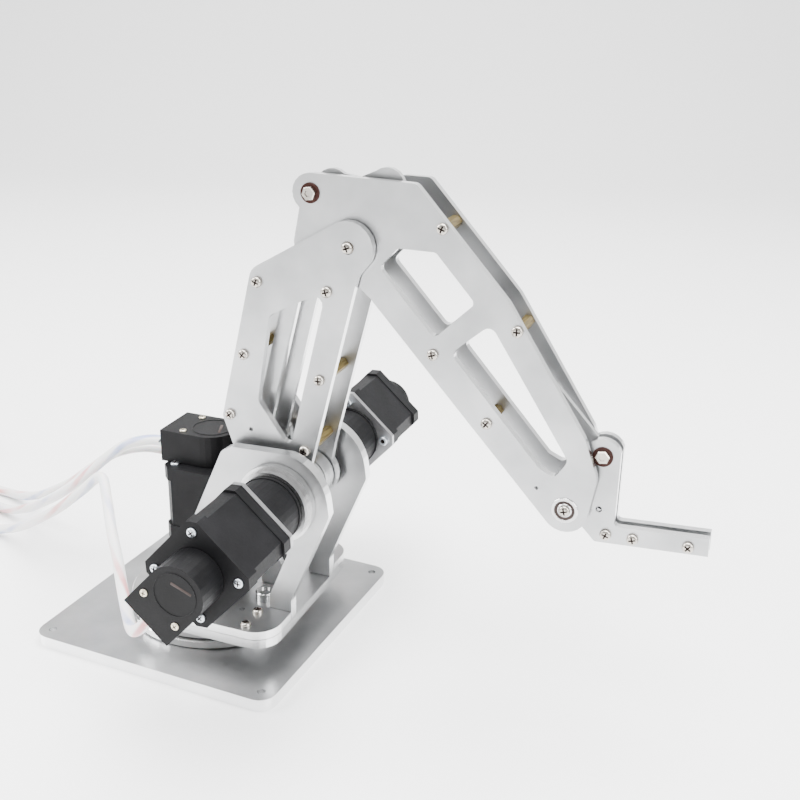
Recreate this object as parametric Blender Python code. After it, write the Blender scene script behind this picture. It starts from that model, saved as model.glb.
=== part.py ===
"""Desktop robot arm with three geared motors and a levelling linkage.

The row frame is square to the base plate: origin at the centre of its underside, +Z up.
The turret stands a little turned on the base, so the arm's pieces hang under an empty with that yaw.
Inside that empty, X is the arm's reach, Y goes from the near motor to the far one, and Z is up.
All numbers are in millimetres and turn into metres where a mesh is made.
"""

from math import atan2, cos, degrees, pi, radians, sin

import bmesh
import bpy
from mathutils import Matrix, Vector

MM = 0.001
GAP = 0.3  # between pieces that touch
BORE_CLEARANCE = 0.3  # round a pin in its hole
ROUND_SIDES = 32
SMALL_SIDES = 16

# Base and slewing bearing
BASE_SIDE = 150.0
BASE_THICK = 7.0
BASE_CORNER = 9.0
BASE_HOLE_INSET = 8.0
BASE_HOLE_RADIUS = 2.25
RING_BORE = 30.0
LOWER_RING = (52.0, BASE_THICK + GAP, 12.0)  # outer radius, bottom, top
UPPER_RING = (50.0, 12.3, 18.7)
REST_YAW = 2.7  # degrees that the turret stands turned at rest

# Turret
TURRET_Z = (19.0, 24.0)
TURRET_X = (-27.0, 60.5)
TURRET_HALF_WIDTH = 54.0
TURRET_CORNER = 14.0
TURRET_TOP = TURRET_Z[1] + GAP
SIDE_Y = (22.0, 28.0)  # a side plate's inner and outer face
WING_Z = (TURRET_TOP, 29.0)
WING_INNER = SIDE_Y[1] + GAP
SHAFT_OPENING = 12.0

# Swing axes in the arm's side view (X, Z) at rest
SHOULDER = (54.3, 94.9)
ELBOW = (88.3, 230.3)
WRIST = (201.1, 111.2)
CRANK_ARM = (-21.6, 23.6)  # shoulder to crank pin, and elbow to the forearm's rear lobe
REAR_ARM = (-13.0, 26.0)  # shoulder to the levelling post's pivot, and elbow to the rocker's rear pivot
FRONT_ARM = (15.0, 28.5)  # elbow to the rocker's front pivot, and wrist to the bracket's top pivot


def moved(point, step):
    """The point moved by a step."""
    return (point[0] + step[0], point[1] + step[1])


CRANK_PIN = moved(SHOULDER, CRANK_ARM)
REAR_LOBE = moved(ELBOW, CRANK_ARM)
POST_PIVOT = moved(SHOULDER, REAR_ARM)
ROCKER_REAR = moved(ELBOW, REAR_ARM)
ROCKER_FRONT = moved(ELBOW, FRONT_ARM)
BRACKET_PIVOT = moved(WRIST, FRONT_ARM)

# Layers across the arm (Y)
ARM_Y = (13.0, 17.0)  # an arm plate's inner and outer face
FOREARM_Y = (8.0, 12.0)
BRACKET_Y = (1.9, 5.5)
DRIVE_ROD_Y = (-7.7, -5.2)
ROCKER_Y = (-4.9, -1.9)
LEVEL_ROD_Y = (-1.5, 1.5)
POST_Y = (1.9, 5.9)
STUD_END = 1.8

# Pins, rods and standoffs
PIN = 2.0
AXLE = 3.0
MOTOR_SHAFT = 4.0
BEARING = 6.5
STANDOFF_CORNER = 3.15
ROD_END = 5.5
ROD_HALF_WIDTH = 4.0
SLIM_ROD_HALF_WIDTH = 3.0

# Motors: stations along a motor's axis from the plate that it is bolted to
MOTOR_SIDE = 42.3
MOTOR_CHAMFER = 4.0
STACK_SIDE = 41.3
STACK_CHAMFER = 5.0
COLLAR_RADIUS = 21.5
COLLAR_STEP_RADIUS = 20.0
GEARBOX_RADIUS = 18.0
FLANGE_THICK = 2.7
BODY_LENGTH = 41.7
BELL_LENGTHS = (6.5, 7.7)
CAP_LENGTH = 18.2
CAP_WIDTH = 28.5
CAP_REACH = 24.7
SOCKET_SIZE = (5.0, 13.0, 11.0)  # out of the cap, across it, along the motor
ARM_MOTOR_STATIONS = {"step": 4.2, "gearbox": 9.5, "flange": 37.5}
YAW_MOTOR_STATIONS = {"step": 2.0, "gearbox": 5.7, "flange": 29.0}
ARM_MOTOR_ROLL = 48.0  # degrees that the cap's square end points below the rear

# Cables
CABLE_RADIUS = 3.0
CABLE_POINT_STEP = 12.0
COIL_RADII = (22.0, 40.0)
COIL_Z = (0.1, 12.5)
PLUG_SIZE = (16.0, 9.0, 6.5)  # along the cable, across, high
PLUG_RADIUS = 31.0  # from the coil's centre

FINISHES = {
    "plate_aluminium": ((0.78, 0.79, 0.80), 0.32, 1.0),
    "turned_steel": ((0.70, 0.70, 0.70), 0.25, 1.0),
    "black_motor": ((0.018, 0.018, 0.020), 0.55, 0.0),
    "black_cap": ((0.014, 0.014, 0.015), 0.65, 0.0),
    "brass": ((0.50, 0.40, 0.20), 0.35, 1.0),
    "white_plastic": ((0.85, 0.85, 0.83), 0.45, 0.0),
    "cable_sleeve": ((0.86, 0.86, 0.86), 0.40, 0.0),
}

# Frames that swing: the frame that carries each, and its axis in the side view
SWING_FRAMES = (
    ("upper_arm_frame", "turret_frame", SHOULDER),
    ("crank_frame", "turret_frame", SHOULDER),
    ("crank_pin_frame", "crank_frame", CRANK_PIN),
    ("drive_rod_frame", "crank_pin_frame", CRANK_PIN),
    ("rear_rod_frame", "turret_frame", POST_PIVOT),
    ("rocker_frame", "upper_arm_frame", ELBOW),
    ("forearm_frame", "rocker_frame", ELBOW),
    ("forearm_rod_frame", "rocker_frame", ROCKER_FRONT),
    ("bracket_frame", "forearm_frame", WRIST),
)


# ---------------------------------------------------------------- outlines


def circle(centre, radius, sides=SMALL_SIDES):
    """Points round a circle."""
    return arc(centre, radius, 0, 360 * (1 - 1 / sides), sides - 1)


def arc(centre, radius, start, end, steps):
    """Points along an arc, from one angle to another in degrees."""
    points = []
    for i in range(steps + 1):
        angle = radians(start + (end - start) * i / steps)
        points.append((centre[0] + radius * cos(angle), centre[1] + radius * sin(angle)))
    return points


def rounded(corners, steps=4):
    """A closed outline through corners (x, y, radius), each turned on its radius."""
    points = []
    for i, (x, y, radius) in enumerate(corners):
        here = Vector((x, y))
        before = Vector(corners[i - 1][:2]) - here
        after = Vector(corners[(i + 1) % len(corners)][:2]) - here
        if radius == 0:
            points.append((x, y))
            continue
        half = before.angle(after) / 2
        reach = radius * cos(half) / sin(half)
        centre = here + (before.normalized() + after.normalized()).normalized() * (radius / sin(half))
        first = here + before.normalized() * reach - centre
        last = here + after.normalized() * reach - centre
        start = degrees(atan2(first.y, first.x))
        turn = (degrees(atan2(last.y, last.x)) - start + 180) % 360 - 180
        points += arc(centre, radius, start, start + turn, steps)
    return points


def around(circles, sides=SMALL_SIDES):
    """The tight outline round some circles (centre, radius): their convex hull."""
    cloud = sorted(p for centre, radius in circles for p in circle(centre, radius, sides))
    halves = []
    for ordered in (cloud, cloud[::-1]):
        half = []
        for point in ordered:
            while len(half) > 1 and turns_right(half[-2], half[-1], point):
                half.pop()
            half.append(point)
        halves += half[:-1]
    return halves


def turns_right(first, second, third):
    """Whether the way through three points doesn't turn left."""
    run = (second[0] - first[0]) * (third[1] - first[1])
    rise = (second[1] - first[1]) * (third[0] - first[0])
    return run - rise <= 1e-6


def square_with_chamfers(side, chamfer):
    """The eight corners of a square with cut corners."""
    far = side / 2
    near = far - chamfer
    points = []
    for quarter in range(4):
        turn = Matrix.Rotation(quarter * pi / 2, 2)
        points.append(tuple(turn @ Vector((far, near))))
        points.append(tuple(turn @ Vector((near, far))))
    return points


# ---------------------------------------------------------------- solids


def material(finish):
    """The material of a finish, made once."""
    if finish in bpy.data.materials:
        return bpy.data.materials[finish]
    colour, roughness, metallic = FINISHES[finish]
    made = bpy.data.materials.new(finish)
    made.use_nodes = True
    shader = made.node_tree.nodes["Principled BSDF"]
    shader.inputs["Base Color"].default_value = (*colour, 1.0)
    shader.inputs["Roughness"].default_value = roughness
    shader.inputs["Metallic"].default_value = metallic
    return made


def add_piece(name, frame, finish, mesh):
    """An object in a frame, with its own material."""
    mesh.materials.append(material(finish).copy())
    mesh.materials[0].name = f"{name}_{finish}"
    mesh.shade_smooth()
    mesh.set_sharp_from_angle(angle=radians(30))
    piece = bpy.data.objects.new(name, mesh)
    bpy.context.scene.collection.objects.link(piece)
    piece.parent = frame
    return piece


def mesh_from(shape, name):
    """A mesh from a closed bmesh, in metres, with its faces pointing out."""
    bmesh.ops.recalc_face_normals(shape, faces=shape.faces)
    bmesh.ops.scale(shape, vec=(MM, MM, MM), verts=shape.verts)
    mesh = bpy.data.meshes.new(name)
    shape.to_mesh(mesh)
    shape.free()
    return mesh


def sheet_shape(outline, holes, low, high, standing):
    """A sheet between two levels: standing in the side view, or lying flat."""
    shape = bmesh.new()
    for loop in (outline, *holes):
        verts = [shape.verts.new((u, low, v) if standing else (u, v, low)) for u, v in loop]
        for i, vert in enumerate(verts):
            shape.edges.new((verts[i - 1], vert))
    bmesh.ops.triangle_fill(shape, use_beauty=True, edges=shape.edges[:])
    top = bmesh.ops.extrude_face_region(shape, geom=shape.faces[:])
    lifted = [item for item in top["geom"] if isinstance(item, bmesh.types.BMVert)]
    step = (0, high - low, 0) if standing else (0, 0, high - low)
    bmesh.ops.translate(shape, vec=step, verts=lifted)
    return shape


def about(points, pivot):
    """Side-view points measured from a pivot."""
    return [(x - pivot[0], z - pivot[1]) for x, z in points]


def standing_plate(name, frame, finish, outline, holes, y_range):
    """A plate in the side view, drawn about its frame's axis."""
    pivot = (frame["axis_x"], frame["axis_z"])
    loops = [about(hole, pivot) for hole in holes]
    shape = sheet_shape(about(outline, pivot), loops, *sorted(y_range), True)
    return add_piece(name, frame, finish, mesh_from(shape, name))


def flat_plate(name, frame, finish, outline, holes, z_range):
    """A plate that lies flat."""
    shape = sheet_shape(outline, holes, *z_range, False)
    return add_piece(name, frame, finish, mesh_from(shape, name))


def turned_shape(profile, along, centre=(0, 0), sides=ROUND_SIDES):
    """A solid turned about an axis, from (radius, station) pairs along "y" or "z".

    A profile that starts and ends on the axis is solid, and any other closes on itself as a ring."""
    shape = bmesh.new()
    rings = []
    for radius, station in profile:
        count = sides if radius > 0 else 1
        ring = []
        for x, across in circle(centre, radius, sides)[:count]:
            ring.append(shape.verts.new((x, station, across) if along == "y" else (x, across, station)))
        rings.append(ring)
    if profile[0][0] > 0:
        rings.append(rings[0])
    for lower, upper in zip(rings, rings[1:]):
        join_rings(shape, lower, upper)
    return shape


def join_rings(shape, lower, upper):
    """Faces between two rings, either of which may be a single point."""
    count = max(len(lower), len(upper))
    for i in range(count):
        corners = [lower[i % len(lower)], lower[(i + 1) % len(lower)]]
        corners += [upper[(i + 1) % len(upper)], upper[i % len(upper)]]
        unique = list(dict.fromkeys(corners))
        if len(unique) > 2:
            shape.faces.new(unique)


def turned_piece(name, frame, finish, profile, along="z", sides=ROUND_SIDES):
    """A turned piece on its frame's axis."""
    return add_piece(name, frame, finish, mesh_from(turned_shape(profile, along, sides=sides), name))


def lofted_piece(name, frame, finish, sections):
    """A solid through sections (outline, station) that have the same number of corners."""
    shape = bmesh.new()
    rings = [[shape.verts.new((x, y, station)) for x, y in outline] for outline, station in sections]
    shape.faces.new(rings[0])
    shape.faces.new(rings[-1])
    for lower, upper in zip(rings, rings[1:]):
        join_rings(shape, lower, upper)
    return add_piece(name, frame, finish, mesh_from(shape, name))


def unite(piece, shape):
    """Joins a further closed shape, drawn in the piece's own frame, to a piece."""
    extra = bpy.data.objects.new("extra", mesh_from(shape, "extra"))
    bpy.context.scene.collection.objects.link(extra)
    extra.parent = piece.parent
    join = piece.modifiers.new("join", "BOOLEAN")
    join.operation = "UNION"
    join.solver = "EXACT"
    join.object = extra
    bpy.context.view_layer.update()
    graph = bpy.context.evaluated_depsgraph_get()
    joined = bpy.data.meshes.new_from_object(piece.evaluated_get(graph), depsgraph=graph)
    piece.modifiers.clear()
    old = piece.data
    piece.data = joined
    joined.name = piece.name
    bpy.data.meshes.remove(old)
    bpy.data.objects.remove(extra, do_unlink=True)


def box_shape(x_range, y_range, z_range):
    """A box between three ranges."""
    corners = [(x_range[i], y_range[j]) for i, j in ((0, 0), (1, 0), (1, 1), (0, 1))]
    return sheet_shape(corners, (), *z_range, False)


# ---------------------------------------------------------------- frames


def clear_scene():
    """Removes the objects that a new file starts with."""
    for item in list(bpy.data.objects):
        bpy.data.objects.remove(item, do_unlink=True)


def add_frame(name, parent, place, turn=None):
    """An empty that carries pieces, at a place in millimetres under its parent."""
    empty = bpy.data.objects.new(name, None)
    bpy.context.scene.collection.objects.link(empty)
    empty.parent = parent
    empty.location = Vector(place) * MM
    if turn:
        empty.rotation_euler = turn.to_euler()
    empty["axis_x"] = 0.0
    empty["axis_z"] = 0.0
    return empty


def make_frames():
    """The turret's frame, the swinging frames on their axes, and the motors' frames."""
    frames = {"turret_frame": add_frame("turret_frame", None, (0, 0, 0))}
    frames["turret_frame"].rotation_euler.z = radians(REST_YAW)
    for name, carrier, (x, z) in SWING_FRAMES:
        under = frames[carrier]
        frame = add_frame(name, under, (x - under["axis_x"], 0, z - under["axis_z"]))
        frame["axis_x"] = x
        frame["axis_z"] = z
        frames[name] = frame
    for name, side in (("near", -1), ("far", 1)):
        sideways = Matrix.Rotation(radians(-90 * side), 3, "X")
        roll = Matrix.Rotation(radians(180 - side * ARM_MOTOR_ROLL), 3, "Z")
        place = (SHOULDER[0], side * WING_INNER, SHOULDER[1])
        frames[name] = add_frame(f"{name}_motor_frame", frames["turret_frame"], place, sideways @ roll)
    half_turn = Matrix.Rotation(pi, 3, "Z")
    frames["yaw"] = add_frame("yaw_motor_frame", frames["turret_frame"], (0, 0, TURRET_TOP), half_turn)
    return frames


# ---------------------------------------------------------------- base and turret


def make_base():
    """The base plate, the slewing bearing's lower ring and the hub that holds the yaw shaft."""
    half = BASE_SIDE / 2
    corners = [(x * half, y * half, BASE_CORNER) for x, y in ((-1, -1), (1, -1), (1, 1), (-1, 1))]
    inset = half - BASE_HOLE_INSET
    holes = [circle((x * inset, y * inset), BASE_HOLE_RADIUS) for x in (-1, 1) for y in (-1, 1)]
    flat_plate("base_plate", None, "plate_aluminium", rounded(corners), holes, (0, BASE_THICK))
    ring_piece("slew_ring_lower", None, LOWER_RING)
    hub = [(0, 7.3), (20, 7.3), (20, 11), (10, 11), (10, 18), (MOTOR_SHAFT, 18), (MOTOR_SHAFT, 29), (0, 29)]
    turned_piece("yaw_hub", None, "turned_steel", hub)


def ring_piece(name, frame, size):
    """A flat bearing ring with eased outer edges."""
    radius, bottom, top = size
    ease = 0.6
    profile = [(RING_BORE, bottom), (radius - ease, bottom), (radius, bottom + ease)]
    profile += [(radius, top - ease), (radius - ease, top), (RING_BORE, top)]
    turned_piece(name, frame, "turned_steel", profile, sides=48)


def make_turret(frame):
    """The turret's own plates and the levelling post."""
    ring_piece("slew_ring_upper", frame, UPPER_RING)
    rear, front = TURRET_X
    wide = TURRET_HALF_WIDTH
    ends = ((rear, -wide), (front, -wide), (front, wide), (rear, wide))
    outline = rounded([(x, y, TURRET_CORNER) for x, y in ends], steps=6)
    opening = circle((0, 0), SHAFT_OPENING, ROUND_SIDES)
    flat_plate("turret_plate", frame, "plate_aluminium", outline, [opening], TURRET_Z)
    for name, side in (("near", -1), ("far", 1)):
        inner, outer = side * WING_INNER, side * wide
        corners = [
            (rear, inner, 0),
            (rear, outer, TURRET_CORNER),
            (front, outer, TURRET_CORNER),
            (front, inner, 0),
        ]
        hole = circle((34.5, side * 35.4), 1.6)
        flat_plate(f"wing_plate_{name}", frame, "plate_aluminium", rounded(corners, 6), [hole], WING_Z)
        faces = [side * y for y in SIDE_Y]
        standing_plate(
            f"side_plate_{name}",
            frame,
            "plate_aluminium",
            side_outline(),
            [circle(SHOULDER, SHAFT_OPENING, 24)],
            faces,
        )
    make_levelling_post(frame)


def side_outline():
    """A side plate: two legs under an arch, and a round crown over the shoulder axis."""
    foot = TURRET_TOP
    rear_leg = [(-2.5, foot, 0), (-15.5, foot, 0), (-15.5, 36, 6), (3.5, 77.5, 0)]
    rear_leg += [(21.5, 118, 6), (27.5, 121, 4)]
    crown = arc(SHOULDER, 28, 76, 8, 8)
    front_leg = [(83, 91, 3), (60.5, 36.5, 6), (60.5, foot, 0), (47.5, foot, 0), (47.5, 36.5, 4)]
    arch = [(61.5, 70.5, 5), (14, 70.5, 5), (-2.5, 36.5, 4)]
    return rounded(rear_leg + [(x, z, 0) for x, z in crown] + front_leg + arch)


def make_levelling_post(frame):
    """The post beside the crank's hub, with the stud that the rear levelling rod turns on."""
    corners = [(27, TURRET_TOP, 0), (45, TURRET_TOP, 0), (45, 33, 2)]
    corners += [(38, 40, 6), (38, 100, 8), (47.5, 116, 5)]
    corners += [(46, 126, 4), (36.5, 126.5, 4), (25, 100, 8), (25, 40, 3), (27, 33, 2)]
    post = standing_plate("levelling_post", frame, "plate_aluminium", rounded(corners), (), POST_Y)
    unite(post, stud_shape(POST_PIVOT, -STUD_END + 0.1, POST_Y[0] + 1))


def stud_shape(place, start, end):
    """A pin across the arm."""
    profile = [(0, start), (PIN, start), (PIN, end), (0, end)]
    return turned_shape(profile, "y", place, SMALL_SIDES)


# ---------------------------------------------------------------- motors


def make_motors(frames):
    """Two motors on the shoulder axis and one upright on the yaw axis."""
    for name in ("near", "far"):
        stations = ARM_MOTOR_STATIONS
        turned_piece(f"{name}_motor_collar", frames[name], "turned_steel", collar_profile(stations))
        turned_piece(f"{name}_gearbox", frames[name], "black_motor", gearbox_profile(stations))
        make_flange(f"{name}_motor_flange", frames[name], stations["flange"])
        make_motor_body(f"{name}_motor_body", frames[name], body_start(stations))
        cap = make_cap(f"{name}_encoder_cap", frames[name], body_start(stations) + BODY_LENGTH + GAP)
        unite(cap, socket_shape(body_start(stations), CAP_REACH - 1))
    make_yaw_motor(frames["yaw"])


def body_start(stations):
    """Where a motor's body starts along its axis."""
    return stations["flange"] + FLANGE_THICK + GAP


def collar_profile(stations):
    """The stepped ring round the output shaft."""
    bore = MOTOR_SHAFT + BORE_CLEARANCE
    end = stations["gearbox"] - GAP
    step = stations["step"]
    foot = [(bore, 0), (COLLAR_RADIUS, 0), (COLLAR_RADIUS, step)]
    top = [(COLLAR_STEP_RADIUS, step), (COLLAR_STEP_RADIUS, end), (bore, end)]
    return foot + top


def gearbox_profile(stations):
    """The gearbox's plain drum, with a shallow groove at each end."""
    start = stations["gearbox"]
    end = stations["flange"] - GAP
    rim = 2.0
    groove = GEARBOX_RADIUS - 0.5
    profile = [(0, start), (GEARBOX_RADIUS, start), (GEARBOX_RADIUS, start + rim), (groove, start + rim)]
    profile += [(groove, end - rim), (GEARBOX_RADIUS, end - rim), (GEARBOX_RADIUS, end), (0, end)]
    return profile


def make_flange(name, frame, start):
    """The square flange between gearbox and motor."""
    outline = square_with_chamfers(MOTOR_SIDE, MOTOR_CHAMFER)
    lofted_piece(name, frame, "plate_aluminium", [(outline, start), (outline, start + FLANGE_THICK)])


def make_motor_body(name, frame, start):
    """Two end bells with a slightly narrower stack between them."""
    bell = square_with_chamfers(MOTOR_SIDE, MOTOR_CHAMFER)
    stack = square_with_chamfers(STACK_SIDE, STACK_CHAMFER)
    front, rear = BELL_LENGTHS
    end = start + BODY_LENGTH
    sections = [(bell, start), (bell, start + front), (stack, start + front), (stack, end - rear)]
    sections += [(bell, end - rear), (bell, end)]
    lofted_piece(name, frame, "black_motor", sections)


def cap_outline():
    """Round over the motor's axis and square where the socket is."""
    half = CAP_WIDTH / 2
    return [(CAP_REACH, -half), (CAP_REACH, half)] + arc((0, 0), half, 90, 270, 14)


def make_cap(name, frame, start):
    """The encoder's cap."""
    outline = cap_outline()
    return lofted_piece(name, frame, "black_cap", [(outline, start), (outline, start + CAP_LENGTH)])


def socket_shape(motor_start, inner):
    """The cable socket on the square end of a cap."""
    out, across, along = SOCKET_SIZE
    low = motor_start + BODY_LENGTH + GAP + 1.5
    return box_shape((inner, CAP_REACH + out), (-across / 2, across / 2), (low, low + along))


def make_yaw_motor(frame):
    """The upright motor, whose shaft stands still in the hub and turns the turret."""
    stations = YAW_MOTOR_STATIONS
    bore = MOTOR_SHAFT + BORE_CLEARANCE
    step = stations["step"]
    end = stations["flange"] + 1
    profile = [(0, 8), (bore, 8), (bore, 0), (COLLAR_STEP_RADIUS, 0), (COLLAR_STEP_RADIUS, step)]
    profile += [(GEARBOX_RADIUS, step), (GEARBOX_RADIUS, end), (0, end)]
    gearbox = turned_piece("yaw_gearbox", frame, "black_motor", profile)
    flange = square_with_chamfers(MOTOR_SIDE, MOTOR_CHAMFER)
    unite(gearbox, sheet_shape(flange, (), stations["flange"], stations["flange"] + FLANGE_THICK, False))
    start = body_start(stations)
    make_motor_body("yaw_motor_body", frame, start)
    make_cap("yaw_encoder_cap", frame, start + BODY_LENGTH + GAP)
    socket = mesh_from(socket_shape(start, CAP_REACH + GAP), "yaw_motor_socket")
    add_piece("yaw_motor_socket", frame, "white_plastic", socket)


# ---------------------------------------------------------------- upper arm


def make_upper_arm(frame):
    """Two windowed plates with standoffs between them, the driven hub and the elbow axle."""
    window = rounded([(45.5, 191.5, 5), (77, 208, 4), (56, 119.5, 3), (38, 144.5, 4)])
    elbow_hole = circle(ELBOW, AXLE + BORE_CLEARANCE)
    small_hole = circle((33.4, 127.7), 1.2, 10)
    shoulder_bores = {"near": 6.0, "far": MOTOR_SHAFT + BORE_CLEARANCE}
    for name, side in (("near", -1), ("far", 1)):
        holes = [window, elbow_hole, small_hole, circle(SHOULDER, shoulder_bores[name])]
        faces = [side * y for y in ARM_Y]
        standing_plate(f"arm_plate_{name}", frame, "plate_aluminium", arm_outline(), holes, faces)
    places = {
        "rear_top": (39.3, 208.1),
        "front_top": (77.4, 207.4),
        "rear_middle": (30.5, 168.9),
        "front_middle": (73.1, 161),
        "rear_bottom": (21.5, 134.5),
        "front_bottom": (64.4, 120.8),
    }
    for name, place in places.items():
        make_standoff(f"arm_standoff_{name}", frame, place, ARM_Y[0] - GAP)
    hub = [(0, -36), (MOTOR_SHAFT, -36), (MOTOR_SHAFT, -21.7), (12.5, -21.7), (12.5, -17.3), (5.7, -17.3)]
    hub += [(5.7, -13.3), (0, -13.3)]
    turned_piece("shoulder_hub", frame, "turned_steel", hub, "y")
    axle = [(0, -16.7), (AXLE, -16.7), (AXLE, 16.7), (0, 16.7)]
    pin_piece("elbow_axle", frame, ELBOW, axle)


def arm_outline():
    """Slim at the elbow, wide in the middle, and round at the shoulder."""
    outline = sharp(arc(ELBOW, 13, 114, -26, 8)) + [(93.5, 216.5, 6), (67.9, 113.3, 4)]
    outline += sharp(arc(SHOULDER, 15, 38, -160, 12)) + [(23, 115.7, 3), (16.8, 133, 4), (36, 214.5, 9)]
    return rounded(outline)


def sharp(points):
    """Points as corners that rounded() leaves alone."""
    return [(x, z, 0) for x, z in points]


def make_standoff(name, frame, place, half_length):
    """A hexagonal spacer between two plates."""
    ends = (-half_length, half_length)
    profile = [(0, ends[0]), (STANDOFF_CORNER, ends[0]), (STANDOFF_CORNER, ends[1]), (0, ends[1])]
    shape = turned_shape(profile, "y", from_axis(frame, place), 6)
    add_piece(name, frame, "brass", mesh_from(shape, name))


def from_axis(frame, place):
    """A side-view place measured from the frame's axis."""
    return (place[0] - frame["axis_x"], place[1] - frame["axis_z"])


def pin_piece(name, frame, place, profile):
    """A small turned pin or bolt across the arm."""
    shape = turned_shape(profile, "y", from_axis(frame, place), SMALL_SIDES)
    add_piece(name, frame, "turned_steel", mesh_from(shape, name))


# ---------------------------------------------------------------- linkage


def make_linkage(frames):
    """The crank that pulls the forearm, and the levelling rods round the rocker."""
    make_crank(frames["crank_frame"])
    head = DRIVE_ROD_Y[0] - 0.2
    end = ROCKER_Y[1]
    pin = [(0, -10), (3, -10), (3, head), (PIN, head), (PIN, end), (0, end)]
    pin_piece("crank_pin", frames["crank_pin_frame"], CRANK_PIN, pin)
    make_rod("drive_rod", frames["drive_rod_frame"], CRANK_PIN, REAR_LOBE, ROD_HALF_WIDTH, DRIVE_ROD_Y)
    make_rod("rear_rod", frames["rear_rod_frame"], POST_PIVOT, ROCKER_REAR, ROD_HALF_WIDTH, LEVEL_ROD_Y)
    front = frames["forearm_rod_frame"]
    make_rod("forearm_rod", front, ROCKER_FRONT, BRACKET_PIVOT, SLIM_ROD_HALF_WIDTH, LEVEL_ROD_Y)
    make_rocker(frames["rocker_frame"])


def make_crank(frame):
    """A lever and its grooved hub on the far motor's shaft."""
    hole = circle(CRANK_PIN, PIN + BORE_CLEARANCE)
    outline = around([(SHOULDER, 13), (CRANK_PIN, 6.5)], 24)
    crank = standing_plate("crank", frame, "plate_aluminium", outline, [hole], ROCKER_Y)
    low = ROCKER_Y[1] - 1
    wide, narrow = 13.5, 10.0
    shoulder_end, shaft_end = 12, 36
    hub = [(0, low), (narrow, low), (narrow, -1), (wide, -1), (wide, 1), (narrow, 1), (narrow, 2), (wide, 2)]
    hub += [(wide, shoulder_end), (MOTOR_SHAFT, shoulder_end), (MOTOR_SHAFT, shaft_end), (0, shaft_end)]
    unite(crank, turned_shape(hub, "y"))


def make_rod(name, frame, start, end, half_width, faces):
    """A flat bar with a round eye at each end."""
    heading = degrees(atan2(end[1] - start[1], end[0] - start[0]))
    spread = degrees(atan2(half_width, (ROD_END**2 - half_width**2) ** 0.5))
    outline = arc(start, ROD_END, heading + spread, heading + 360 - spread, 12)
    outline += arc(end, ROD_END, heading + 180 + spread, heading + 540 - spread, 12)
    holes = [circle(place, PIN + BORE_CLEARANCE) for place in (start, end)]
    standing_plate(name, frame, "plate_aluminium", outline, holes, faces)


def make_rocker(frame):
    """A bone-shaped lever on the elbow axle, with a stud for each levelling rod."""
    lobe = 9.0
    outline = arc(ROCKER_REAR, lobe, 195, 50, 8) + [(89.3, 262)] + arc(ROCKER_FRONT, lobe, 130, -25, 8)
    outline += arc(ELBOW, 10, -25, -160, 8)
    hole = circle(ELBOW, AXLE + BORE_CLEARANCE)
    rocker = standing_plate("rocker", frame, "plate_aluminium", outline, [hole], ROCKER_Y)
    for place in (ROCKER_REAR, ROCKER_FRONT):
        unite(rocker, stud_shape(from_axis(frame, place), ROCKER_Y[1] - 1, STUD_END))


# ---------------------------------------------------------------- forearm


def make_forearm(frame):
    """Two windowed plates with standoffs between them; the near one carries the drive rod's pivot."""
    elbow_hole = circle(ELBOW, AXLE + BORE_CLEARANCE)
    wrist_hole = circle(WRIST, BEARING, 24)
    window_corners = [(112, 231.5, 3), (131, 231.5, 3), (151.5, 209, 3), (131.5, 189.5, 3), (102.5, 221, 3)]
    upper_window = rounded(window_corners)
    lower_window = rounded([(140, 183, 4), (159.5, 200, 4), (201, 137, 4), (195, 127.5, 3), (187, 131, 4)])
    lobe_hole = circle(REAR_LOBE, PIN + BORE_CLEARANCE)
    small_hole = circle((186.5, 120.5), 1.0, 10)
    holes = [elbow_hole, wrist_hole, small_hole, upper_window, lower_window]
    near = [-y for y in FOREARM_Y]
    near_holes = [*holes, lobe_hole]
    standing_plate("forearm_plate_near", frame, "plate_aluminium", near_forearm_outline(), near_holes, near)
    standing_plate("forearm_plate_far", frame, "plate_aluminium", far_forearm_outline(), holes, FOREARM_Y)
    places = {"top": (134, 242.9), "elbow": (131.2, 181.2), "wrist": (159.8, 150), "front": (172.4, 198.3)}
    for name, place in places.items():
        make_standoff(f"forearm_standoff_{name}", frame, place, FOREARM_Y[0] - GAP)
    bolt = [(0, -14.5), (3, -14.5), (3, -12.3), (PIN, -12.3), (PIN, -5.3), (0, -5.3)]
    pin_piece("rear_lobe_bolt", frame, REAR_LOBE, bolt)


def wrist_side():
    """The corners that both forearm plates share, from the top front to the lower edge by the elbow."""
    corners = [(120.5, 262.6, 4), (167.5, 211.5, 16), (208.5, 149, 12), (215.5, 130, 10)]
    return corners + sharp(arc(WRIST, 11.5, 5, -140, 10)) + [(98, 205.5, 8)]


def near_forearm_outline():
    """The near plate reaches back over the elbow to the drive rod's pivot, clear of the arm's standoffs."""
    lobe = sharp(arc(REAR_LOBE, 9.5, 232, 92, 8))
    return rounded(lobe + wrist_side() + sharp(arc(ELBOW, 21, -77, -160, 8)) + [(57, 226.5, 4)])


def far_forearm_outline():
    """The far plate ends round the elbow."""
    return rounded([(106.5, 262.6, 4)] + wrist_side() + sharp(arc(ELBOW, 16, -70, -235, 12)))


# ---------------------------------------------------------------- end effector bracket


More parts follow.
